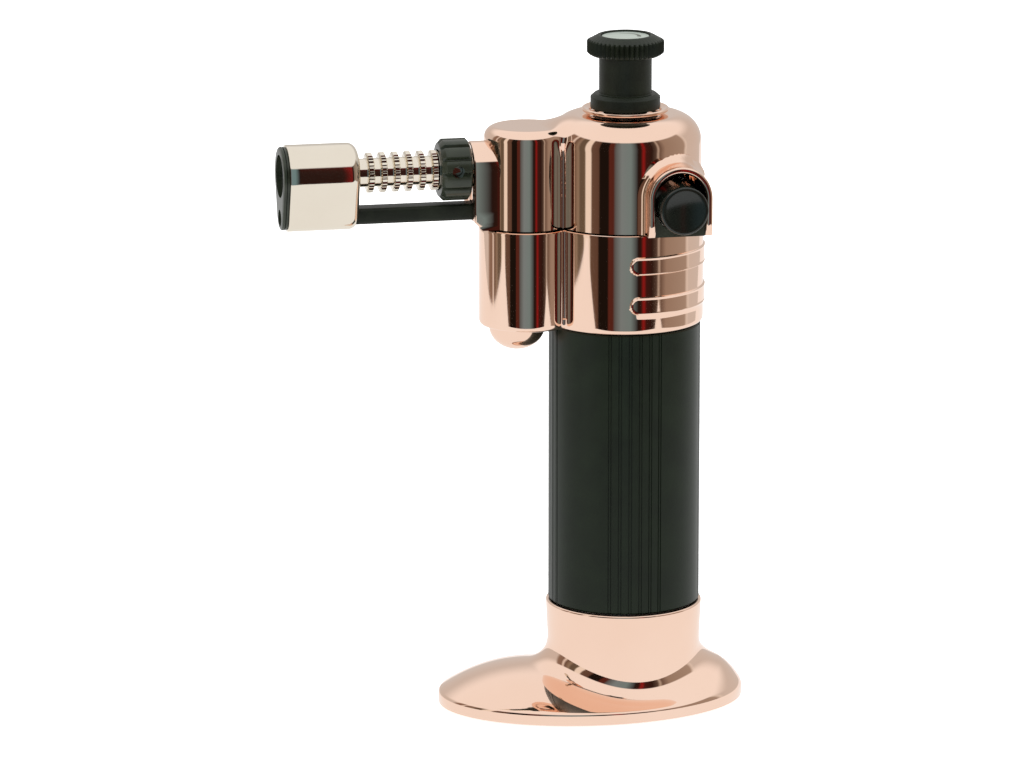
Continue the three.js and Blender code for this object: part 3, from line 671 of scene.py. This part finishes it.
def make_arch():
    """The hood round the ignition button: a thick arch on two legs that swells where it meets the cover.
    Stations go up one leg, over the top and down the other, with the section drawn at each."""
    legs = (cover_low.z, cover_low.z + 0.5, cover_low.z + 1.5, cover_low.z + 3, 119, 120.6)
    stations = [(-1, 0, z) for z in legs]
    for i in range(49):
        a = math.pi - i / 48 * math.pi
        stations.append((math.cos(a), math.sin(a), ARCH_Z))
    stations += [(1, 0, z) for z in reversed(legs)]
    front = arch_front
    section = [(ARCH_R, -9)]
    section += [(ARCH_R, -13 - 0.5 * i) for i in range(18)]
    section = [p for p in section if p[1] > front + 0.8]
    section += [(ARCH_R, front + 0.6), (ARCH_R - 0.05, front + 0.35), (ARCH_R - 0.2, front + 0.12),
                (ARCH_R - 0.45, front), (OPENING_R + 0.42, front), (OPENING_R + 0.3, front + 0.05),
                (OPENING_R, front + 0.5), (OPENING_R, -17), (OPENING_R, -9)]
    rings = []
    for c, s, base in stations:
        ring = []
        for r, y in section:
            x, z = button_x + r * c, base + r * s
            if r > OPENING_R + 0.6:
                away = max(math.hypot(x, y) - COVER_R, 0)
                swell = ROOT_FLARE * max(0, 1 - away / FLARE_REACH) ** 2
                x, z = x + swell * c, z + swell * s
            cut_back = max(0, cover_low.z + 1.5 - z) * 0.75
            ring.append((x, max(y, front + cut_back), z))
        rings.append(ring)
    return loft("arch", rings, start="face", end="face", sharp=40)


sleeve_low, sleeve_high = box_mm("electrode_sleeve")
sleeve_z = (sleeve_low.z + sleeve_high.z) / 2
BAR_HALF_WIDTH = 2.7
BAR_HALF_HEIGHT = 1.85
BAR_ROUND = 0.8
HOLE_GAP = 0.3


def bar_points(depth, margin=0.0):
    """The rounded flat bar that carries the spark lead, as a ring at this forward distance."""
    wide, tall = BAR_HALF_WIDTH + margin, BAR_HALF_HEIGHT + margin
    out = soften([(-wide, -tall, BAR_ROUND), (wide, -tall, BAR_ROUND),
                  (wide, tall, BAR_ROUND), (-wide, tall, BAR_ROUND)], closed=True)
    return [(-depth, y, sleeve_z + z) for y, z in out]


def along(r, turn, h, z=BURNER_Z):
    """Radius, turn and forward distance on an axis that runs along -X."""
    return (-h, r * math.cos(turn), z + r * math.sin(turn))


def pressed(r, turn, h):
    """Radius, turn and Y on the button's axis."""
    return (button_x + r * math.cos(turn), h, button_z + r * math.sin(turn))


def front_holes(back):
    """Cutters for the burner tube and the lead's bar, from this forward distance on."""
    ahead = 50
    tube = lathe("tube_hole", [(TUBE_HOLE_R, back), (TUBE_HOLE_R, ahead)], along, 48)
    bar = loft("bar_hole", [bar_points(back, HOLE_GAP), bar_points(ahead, HOLE_GAP)],
               start="face", end="face")
    return tube, bar


def make_cover():
    """The cover's lobes with the burner's boss and the button's arch moulded on."""
    shell = cover_shell()
    hole_r = button_r + HOLE_GAP
    cut(shell, lathe("button_hole", [(hole_r, -30), (hole_r, -8)], pressed, 64), *front_holes(26),
        lathe("knob_hole", [(KNOB_HOLE_R, 130), (KNOB_HOLE_R, 150)], upright, 64))
    boss = make_boss()
    cut(boss, *front_holes(10))
    return join("cover_shell", shell, boss, make_arch())


piece(make_cover(), ROSE_GOLD, "torch", "top_cover")

# ---- knob ------------------------------------------------------------------------------------

bezel_low, bezel_high = box_mm("knob_bezel")
bezel_r = bezel_high.x
BEZEL_BORE_R = bezel_r - 1.8


def make_bezel():
    """The raised ring round the knob, with its upper face dished towards the bore."""
    outline = soften([
        (BEZEL_BORE_R, bezel_low.z), (bezel_r - 1.1, bezel_low.z, 0.1),
        (bezel_r - 0.15, bezel_low.z + 0.4, 0.15), (bezel_r, bezel_high.z - 0.2, 0.25),
        (bezel_r - 0.4, bezel_high.z, 0.25), (bezel_r - 1.5, bezel_high.z - 0.3, 0.1),
        (BEZEL_BORE_R, bezel_high.z - 0.6)], closed=True, steps=6)
    return lathe("bezel_ring", outline, upright, 160, loop=True)


piece(make_bezel(), ROSE_GOLD, "torch", "knob_bezel")

stem_low, stem_high = box_mm("knob_sleeve")
STEM_BORE_R = 2.7
NECK_R = 6.05
FLANGE_TOP_Z = 143.1
FLANGE_BEVEL = 0.9


def make_stem():
    """The knob's stem: a bevelled flange under a plain neck that ends just inside the cap."""
    flange_r = stem_high.x
    top = stem_high.z + 0.4
    outline = soften([
        (STEM_BORE_R, stem_low.z), (flange_r, stem_low.z, 0.2), (flange_r, FLANGE_TOP_Z - 0.8, 0.12),
        (flange_r - FLANGE_BEVEL, FLANGE_TOP_Z, 0.12), (NECK_R, FLANGE_TOP_Z, 0.2), (NECK_R, top),
        (STEM_BORE_R, top)], closed=True)
    return lathe("knob_stem", outline, upright, 128, loop=True)


piece(make_stem(), BLACK_PLASTIC, "regulator", "knob_sleeve")

cap_low, cap_high = box_mm("knob_cap")
cap_r = cap_high.x
CAP_TEETH = 45
TOOTH = 0.7
TOOTH_STEPS = 6
SHOULDER_Z = 155.3
CAP_LIP_R = 6.4
CAP_HOLE_R = 1.7
CAP_BORE_R = 3
label_low, label_high = box_mm("knob_label")
label_r = label_high.x


def make_cap():
    """The knob's grip: fine V teeth between a chamfered lower edge and a sloping shoulder."""
    count = CAP_TEETH * TOOTH_STEPS
    seat_r, seat_z = label_r + 0.2, label_low.z - 0.1
    outline = [(CAP_HOLE_R, cap_low.z, 0), (cap_r - 1.1, cap_low.z, 0),
               (cap_r - 0.55, cap_low.z + 0.3, 0.1), (cap_r, cap_low.z + 0.75, 1),
               (cap_r, SHOULDER_Z - 0.15, 1),
               (cap_r - 0.12, SHOULDER_Z + 0.02, 0.9), (cap_r - 0.7, SHOULDER_Z + 0.3, 0),
               (CAP_LIP_R + 0.1, cap_high.z - 0.08, 0), (CAP_LIP_R - 0.1, cap_high.z, 0),
               (label_r + 0.35, cap_high.z, 0), (seat_r, cap_high.z - 0.15, 0),
               (seat_r, seat_z, 0), (CAP_BORE_R, seat_z, 0),
               (CAP_BORE_R, cap_low.z + 1, 0), (CAP_HOLE_R, cap_low.z + 1, 0)]
    rings = []
    for r, z, tooth in outline:
        ring = []
        for j in range(count):
            wave = abs((j % TOOTH_STEPS) / 3 - 1)
            ring.append(upright(r - tooth * TOOTH * wave, TAU * j / count, z))
        rings.append(ring)
    return loft("knob_grip", rings, loop=True, sharp=25)


piece(make_cap(), BLACK_PLASTIC, "regulator", "knob_cap")

label_disc = lathe("knob_disc", [
    (0.02, label_low.z), (label_r, label_low.z), (label_r, label_high.z - 0.08),
    (label_r - 0.08, label_high.z), (0.02, label_high.z)], upright, 96)
piece(label_disc, LABEL, "regulator", "knob_label")

# ---- ignition button -------------------------------------------------------------------------

DISH_DEPTH = 0.55
DISH_R = button_r - 0.75


def make_button():
    """The button's cap: a dished face inside a narrow rounded rim."""
    face_y = button_low.y
    outline = [(0.02, face_y + DISH_DEPTH)]
    for i in range(1, 13):
        s = i / 12
        outline.append((s * DISH_R, face_y + DISH_DEPTH * (1 - s * s)))
    outline += [(button_r - 0.5, face_y), (button_r - 0.3, face_y + 0.03),
                (button_r - 0.1, face_y + 0.15), (button_r, face_y + 0.4), (button_r, face_y + 2),
                (button_r, button_high.y), (0.02, button_high.y)]
    return lathe("button_cap", outline, pressed, 96, sharp=40)


piece(make_button(), GLOSS_PLASTIC, "igniter", "ignition_button")


def make_plate():
    """The dark plate that fills the arch below the button."""
    plate_low, plate_high = box_mm("button_plate")
    half = (plate_high.x - plate_low.x) / 2
    left, right = button_x - half, button_x + half
    outline = [(left, plate_low.z), (right, plate_low.z), (right, plate_high.z), (left, plate_high.z)]
    rings = [[(x, y, z) for x, z in outline] for y in (plate_low.y, plate_high.y)]
    plate = loft("arch_plate", rings, start="face", end="face")
    hole_r = button_r + 0.25
    return cut(plate, lathe("button_hole", [(hole_r, -40), (hole_r, 0)], pressed, 96))


piece(make_plate(), SATIN_PLASTIC, "torch", "button_plate")

# ---- burner ----------------------------------------------------------------------------------

ring_low, ring_high = box_mm("air_ring")
ring_back, ring_front = -ring_high.x, -ring_low.x
RING_R = ring_high.y
RING_BORE = 4.7
RIBS = 12
RIB_STEPS = 24
RIB_CROWN = 0.22
RIB_GROOVE = 0.75
RIB_SHARE = 0.72
AIR_HOLE_R = 1.4


def make_air_ring():
    """The air ring: crowned ribs with rounded channels between them, and a round air hole."""
    count = RIBS * RIB_STEPS
    outline = [(RING_BORE, ring_back, 0), (RING_R - 1.1, ring_back, 0),
               (RING_R - 0.6, ring_back + 0.12, 0.5), (RING_R, ring_back + 0.55, 1),
               (RING_R, ring_front - 0.95, 1), (RING_R - 0.12, ring_front - 0.8, 0.95),
               (RING_R - 0.95, ring_front - 0.05, 0), (RING_R - 1.1, ring_front, 0),
               (RING_BORE, ring_front, 0)]
    rings = []
    for r, h, rib in outline:
        ring = []
        for j in range(count):
            turn = TAU * (j + 0.5) / count
            phase = abs(((j + 0.5) % RIB_STEPS) / 12 - 1)
            groove = max(0, (phase - RIB_SHARE) / (1 - RIB_SHARE))
            ring.append(along(r - rib * (RIB_CROWN * phase ** 2 + RIB_GROOVE * groove ** 0.8), turn, h))
        rings.append(ring)
    body = loft("air_ring_ribbed", rings, loop=True, sharp=30)
    middle = -(ring_back + ring_front) / 2
    hole = lathe("air_hole", [(AIR_HOLE_R, -12), (AIR_HOLE_R, -3)],
                 lambda r, t, h: (middle + r * math.cos(t), h, BURNER_Z + 0.6 + r * math.sin(t)), 40)
    return cut(body, hole)


piece(make_air_ring(), SATIN_PLASTIC, "air_adjuster", "air_ring")

barrel_low, barrel_high = box_mm("barrel")
barrel_back, barrel_front = -barrel_high.x, -barrel_low.x
TOP_R = barrel_high.y
LOW_R = 4.6
LOW_DROP = 8.3
BACK_ROUND = 2.3


def pear(inset, depth):
    """The barrel's section, a large circle above a small one, as a ring at this forward distance."""
    upper, lower = TOP_R - inset, LOW_R - inset
    lean = math.asin((upper - lower) / LOW_DROP)
    out = []
    for i in range(61):
        a = -lean + (math.pi + 2 * lean) * i / 60
        out.append((-depth, upper * math.cos(a), BURNER_Z + upper * math.sin(a)))
    for i in range(37):
        a = math.pi + lean + (math.pi - 2 * lean) * i / 36
        out.append((-depth, lower * math.cos(a), BURNER_Z - LOW_DROP + lower * math.sin(a)))
    return out


def make_barrel():
    """The barrel as a pear-shaped cup with a rounded back, open to the front."""
    side_start = barrel_back + BACK_ROUND
    rings = []
    for i in range(13):
        a = i / 12 * math.pi / 2
        rings.append(pear(BACK_ROUND * (1 - math.sin(a)), barrel_back + BACK_ROUND * (1 - math.cos(a))))
    steps = 6
    for i in range(1, steps):
        rings.append(pear(0, side_start + (barrel_front - side_start) * i / steps))
    rings += [pear(0, barrel_front - 0.2), pear(0.06, barrel_front - 0.06), pear(0.2, barrel_front),
              pear(1, barrel_front), pear(1, side_start + 1), pear(2.4, side_start)]
    body = loft("barrel_shell", rings, start="face", end="face")
    return cut(body, lathe("tube_hole", [(3.6, 50), (3.6, 70)], along, 48))


piece(make_barrel(), NICKEL, "torch", "barrel")

MUZZLE_HOLE_R = 4.9
SPARK_HOLE_R = 1.9


def make_muzzle():
    """The black ring in the barrel's mouth, with a fine step round its side and its two openings."""
    muzzle_low, _ = box_mm("muzzle_ring")
    front = -muzzle_low.x
    rings = [pear(1.5, barrel_front - 2), pear(1.4, barrel_front), pear(0.55, barrel_front + 0.02),
             pear(0.45, barrel_front + 0.12), pear(0.45, front - 0.85), pear(0.8, front - 0.78),
             pear(0.8, front - 0.7), pear(0.4, front - 0.6), pear(0.4, front - 0.35),
             pear(0.52, front - 0.12), pear(0.8, front)]
    body = loft("muzzle_cap", rings, start="face", end="face")
    flame_hole = lathe("flame_hole", [(MUZZLE_HOLE_R, 70), (MUZZLE_HOLE_R, 90)], along, 64)
    spark_hole = lathe("spark_hole", [(SPARK_HOLE_R, 70), (SPARK_HOLE_R, 90)],
                       lambda r, t, h: along(r, t, h, sleeve_z), 32)
    return cut(body, flame_hole, spark_hole)


piece(make_muzzle(), SATIN_PLASTIC, "torch", "muzzle_ring")

tube_low, tube_high = box_mm("burner_tube")
KNURL_R = 4.6
TUBE_R = 3.3
KNURLS = 6
KNURL_PITCH = 2.96
KNURL_WIDTH = 1.5
KNURL_TEETH = 34
KNURL_DEPTH = 0.28


def make_tube():
    """The burner tube: a bore from end to end, and knurled rings between the air ring and the barrel."""
    back, nose = -tube_high.x, -tube_low.x
    outline = [(3.1, back, 0), (4.4, back, 0), (4.4, ring_front + 0.3, 0)]
    for i in range(KNURLS):
        at = ring_front + 0.45 + i * KNURL_PITCH
        outline += [(TUBE_R, at - 0.02, 0), (KNURL_R - 0.5, at, 0), (KNURL_R, at + 0.22, 1),
                    (KNURL_R, at + KNURL_WIDTH - 0.22, 1), (KNURL_R - 0.5, at + KNURL_WIDTH, 0),
                    (TUBE_R, at + KNURL_WIDTH + 0.02, 0)]
    outline += [(TUBE_R, nose, 0), (2.3, nose, 0), (2.3, ring_back + 3, 0), (3.1, ring_back + 2, 0)]
    count = KNURL_TEETH * TOOTH_STEPS
    rings = []
    for r, h, tooth in outline:
        ring = []
        for j in range(count):
            wave = max(0, abs((j % TOOTH_STEPS) / 3 - 1) - 0.3) / 0.7
            ring.append(along(r - KNURL_DEPTH * tooth * wave, TAU * j / count, h))
        rings.append(ring)
    return loft("burner_tube_knurled", rings, loop=True, sharp=30)


piece(make_tube(), NICKEL, "torch", "burner_tube")


def make_sleeve():
    """The bar that carries the spark lead from the boss into the barrel's back."""
    rings = [bar_points(-sleeve_high.x), bar_points(barrel_back - 12), bar_points(barrel_back + 1.2)]
    return loft("lead_bar", rings, start="face", end="face")


piece(make_sleeve(), BLACK_PLASTIC, "torch", "electrode_sleeve")

# ---- CAD nodes that are shown as they are ----------------------------------------------------

KEPT = {
    RUBBER: ("foot_pad", "lower_tank_seal", "upper_tank_seal", "spindle_seal", "ignition_lead"),
    ALUMINIUM: ("tank_bottom_plug", "tank_top_plug"),
    BRASS: ("filler_valve_body", "filler_valve_stem", "gas_valve_block", "gas_tube", "gas_jet"),
    STEEL: ("filler_spring", "regulator_spindle", "knob_screw", "spark_electrode", "flame_tube"),
    WHITE_PLASTIC: ("pickup_wick", "piezo_body"),
    BLACK_PLASTIC: ("piezo_plunger",),
    CERAMIC: ("flame_spreader",),
}
for material, names in KEPT.items():
    for name in names:
        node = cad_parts[name]
        node.data.materials.clear()
        node.data.materials.append(material)

# ---- stage -----------------------------------------------------------------------------------

AZIMUTH = math.radians(-11.706)
ELEVATION = math.radians(13.354)
DISTANCE = 1.5552
LENS = 237.66
TARGET = Vector((-0.02645, 0, 0.0759))

toward = Vector((math.sin(AZIMUTH) * math.cos(ELEVATION),
                 -math.cos(AZIMUTH) * math.cos(ELEVATION),
                 math.sin(ELEVATION)))
camera = bpy.data.objects.new("camera", bpy.data.cameras.new("camera"))
bpy.context.scene.collection.objects.link(camera)
camera.data.lens = LENS
camera.data.clip_start = 0.05
camera.location = TARGET + toward * DISTANCE
camera.rotation_euler = (-toward).to_track_quat("-Z", "Y").to_euler()
bpy.context.scene.camera = camera


def sheet(name, low, high, z, turn=0.0):
    """A level rectangle of the stage, in metres, turned about the torch's axis."""
    corners = [(low[0], low[1]), (high[0], low[1]), (high[0], high[1]), (low[0], high[1])]
    c, s = math.cos(turn), math.sin(turn)
    points = [((x * c - y * s) * 1000, (x * s + y * c) * 1000, z * 1000) for x, y in corners]
    obj = new_mesh(name, points, [(0, 1, 2, 3)])
    return obj


def glow(name, tint, strength):
    """A matt paint of this tint that also gives off white light."""
    material = bpy.data.materials.new(name)
    material.use_nodes = True
    nodes, links = material.node_tree.nodes, material.node_tree.links
    shader = nodes["Principled BSDF"]
    shader.inputs["Base Color"].default_value = tint
    shader.inputs["Roughness"].default_value = 0.9
    shader.inputs["Specular IOR Level"].default_value = 0
    shader.inputs["Emission Color"].default_value = (1, 1, 1, 1)
    shader.inputs["Emission Strength"].default_value = strength
    return material


floor = sheet("floor", (-6, -6), (6, 6), cad_low.z - 0.0001)
floor.data.materials.append(glow("floor_paint", (0.9, 0.9, 0.9, 1), 0.55))
floor.visible_glossy = False
SHEET_FRONT = 0.305
SHEET_LEFT = 0.46
SHEET_RIGHT = 0.34
reflected = sheet("floor_reflected", (-SHEET_LEFT, -SHEET_FRONT), (SHEET_RIGHT, 6), cad_low.z - 0.0002,
                  AZIMUTH)
reflected.data.materials.append(glow("floor_reflection", (0, 0, 0, 1), 1.0))
reflected.visible_camera = False
reflected.visible_diffuse = False
reflected.visible_shadow = False


LAMP_AIM = Vector((0, 0, 0.07))


def area(name, place, size, power):
    """A square lamp that polished metal doesn't show."""
    lamp = bpy.data.objects.new(name, bpy.data.lights.new(name, "AREA"))
    bpy.context.scene.collection.objects.link(lamp)
    lamp.data.size = size
    lamp.data.energy = power
    lamp.location = place
    lamp.rotation_euler = (Vector(place) - LAMP_AIM).to_track_quat("Z", "Y").to_euler()
    lamp.visible_glossy = False


area("overhead", (0.0, 0.1, 1.3), 1.4, 9)
area("left", (-1.1, -0.5, 0.7), 0.9, 5)
area("right", (1.1, -0.5, 0.7), 0.9, 5)


# The room behind the camera: the angle from the camera's own direction in degrees, and the colour there.
ROOM_EDGE = 110
STREAKS = [
    (-102, (0.30, 0.22, 0.17)), (-92, (0.25, 0.17, 0.13)), (-88, (0.85, 0.8, 0.75)),
    (-84, (0.16, 0.10, 0.07)), (-76, (0.30, 0.24, 0.18)), (-72, (0.14, 0.11, 0.08)),
    (-64, (0.15, 0.12, 0.08)), (-62, (0.9, 0.88, 0.82)), (-54, (0.9, 0.88, 0.82)),
    (-52, (0.14, 0.09, 0.065)), (-41, (0.12, 0.07, 0.05)), (-39, (0.012, 0.008, 0.006)),
    (-26, (0.012, 0.008, 0.006)), (-24, (0.10, 0.025, 0.017)), (-18, (0.09, 0.025, 0.017)),
    (-15, (0.11, 0.13, 0.14)), (-6, (0.20, 0.28, 0.32)), (8, (0.18, 0.28, 0.31)),
    (16, (0.07, 0.09, 0.10)), (19, (0.02, 0.01, 0.008)), (23, (0.03, 0.012, 0.009)),
    (27, (0.28, 0.014, 0.014)), (31, (0.05, 0.012, 0.010)), (40, (0.03, 0.014, 0.010)),
    (47, (0.10, 0.07, 0.055)), (50, (0.5, 0.44, 0.38)), (53, (0.16, 0.11, 0.085)),
    (62, (0.34, 0.27, 0.22)), (98, (0.40, 0.34, 0.29)), (104, (0.85, 0.83, 0.8)),
]


def make_world():
    """White for the camera and for diffuse light. Polished metal sees a studio: a white ceiling, pale
    sides and back, and a dark room behind the camera with upright streaks."""
    world = bpy.data.worlds.new("studio")
    bpy.context.scene.world = world
    world.use_nodes = True
    nodes, links = world.node_tree.nodes, world.node_tree.links
    nodes.clear()

    def math_node(kind, a, b=None):
        n = nodes.new("ShaderNodeMath")
        n.operation = kind
        for socket, value in ((n.inputs[0], a), (n.inputs[1], b)):
            if value is None:
                continue
            if isinstance(value, (int, float)):
                socket.default_value = value
            else:
                links.new(value, socket)
        return n.outputs[0]

    def span(value, low, high, smooth=False):
        n = nodes.new("ShaderNodeMapRange")
        n.interpolation_type = "SMOOTHSTEP" if smooth else "LINEAR"
        n.inputs["From Min"].default_value = low
        n.inputs["From Max"].default_value = high
        links.new(value, n.inputs["Value"])
        return n.outputs["Result"]

    def mix(share, a, b):
        n = nodes.new("ShaderNodeMix")
        n.data_type = "RGBA"
        links.new(share, n.inputs["Factor"])
        for socket, value in ((n.inputs[6], a), (n.inputs[7], b)):
            if isinstance(value, tuple):
                socket.default_value = value
            else:
                links.new(value, socket)
        return n.outputs[2]

    spot = nodes.new("ShaderNodeTexCoord")
    turned = nodes.new("ShaderNodeVectorRotate")
    turned.rotation_type = "Z_AXIS"
    turned.inputs["Angle"].default_value = -AZIMUTH
    links.new(spot.outputs["Generated"], turned.inputs["Vector"])
    split = nodes.new("ShaderNodeSeparateXYZ")
    links.new(turned.outputs["Vector"], split.inputs["Vector"])
    south = math_node("MULTIPLY", split.outputs["Y"], -1.0)
    around = math_node("MULTIPLY", math_node("ARCTAN2", split.outputs["X"], south), 180 / math.pi)
    height = math_node("MULTIPLY", math_node("ARCSINE", split.outputs["Z"]), 180 / math.pi)

    ramp = nodes.new("ShaderNodeValToRGB")
    links.new(span(around, -ROOM_EDGE, ROOM_EDGE), ramp.inputs["Fac"])
    elements = ramp.color_ramp.elements
    for i, (angle, tint) in enumerate(STREAKS):
        place = (angle + ROOM_EDGE) / (2 * ROOM_EDGE)
        element = elements[i] if i < 2 else elements.new(place)
        element.position = place
        element.color = (*tint, 1)
    room = mix(span(height, 33, 38, True), ramp.outputs["Color"], (1, 1, 1, 1))
    paper = mix(span(height, 20, 40, True), (0.66, 0.64, 0.62, 1), (1, 1, 1, 1))
    scene = mix(span(math_node("ABSOLUTE", around), 100, 108, True), room, paper)

    path = nodes.new("ShaderNodeLightPath")
    shown = mix(path.outputs["Is Glossy Ray"], (1, 1, 1, 1), scene)
    background = nodes.new("ShaderNodeBackground")
    links.new(shown, background.inputs["Color"])
    out = nodes.new("ShaderNodeOutputWorld")
    links.new(background.outputs["Background"], out.inputs["Surface"])


make_world()
bpy.context.scene.view_settings.view_transform = "Standard"
